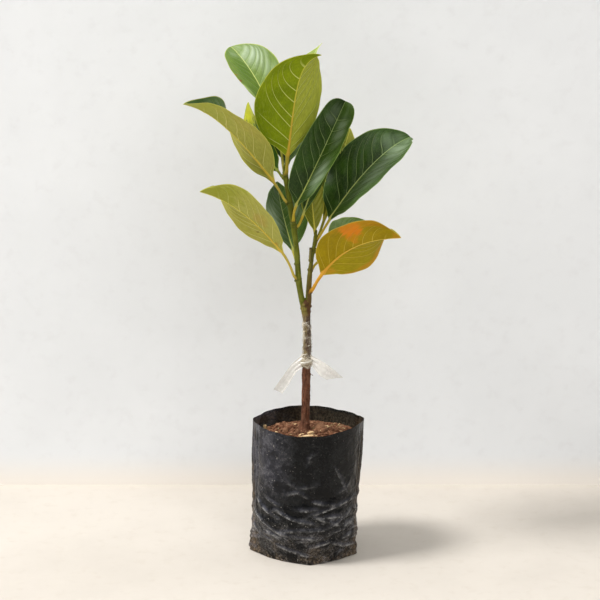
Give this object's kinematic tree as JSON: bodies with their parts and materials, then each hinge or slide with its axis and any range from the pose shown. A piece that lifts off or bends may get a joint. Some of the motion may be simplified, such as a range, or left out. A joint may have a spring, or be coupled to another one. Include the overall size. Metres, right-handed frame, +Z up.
{
  "type": "potted cashew tree",
  "caption": "Young grafted cashew tree with large oval leaves on a forked stem, growing in a soil-filled black nursery bag.",
  "frame": {"origin": "middle of the bag's flat underside", "axes": "+Z up along the trunk; +X to the viewer's right; the open side with the orange leaf faces -Y"},
  "size_m": [0.2635, 0.1472, 0.6063],
  "materials": {
    "bag_film": "creased black polythene film, dusty and soil-stained",
    "soil_mix": "crumbly reddish-brown soil mix with bits of straw",
    "bark": "thin reddish-brown bark, matte",
    "green_bark": "smooth green bark of young shoots",
    "clear_film": "thin clear film wound in layers, whitish where it overlaps",
    "mature_leaf": "leathery dark green leaf, satin above and paler below",
    "young_leaf": "leathery yellow-olive leaf, satin"
  },
  "bodies": {
    "root": {"nursery_bag": "bag_film", "soil": "soil_mix", "trunk": "bark", "main_shoot": "green_bark", "side_shoot": "green_bark", "cut_stub": "bark", "graft_film": "clear_film", "film_end_left": "clear_film", "film_end_right": "clear_film", "leaf_highest": "young_leaf", "leaf_top_left": "mature_leaf", "leaf_top_front": "mature_leaf", "leaf_top_hidden": "mature_leaf", "leaf_top_back": "mature_leaf", "leaf_upper_left": "mature_leaf", "leaf_centre": "mature_leaf", "leaf_middle_back": "mature_leaf", "leaf_low_back": "mature_leaf", "leaf_lower_left": "mature_leaf", "leaf_right_large": "mature_leaf", "leaf_young_short": "young_leaf", "leaf_young_tall": "young_leaf", "leaf_right_behind": "mature_leaf", "leaf_right_back": "mature_leaf", "leaf_orange": "young_leaf"}
  },
  "joints": []
}
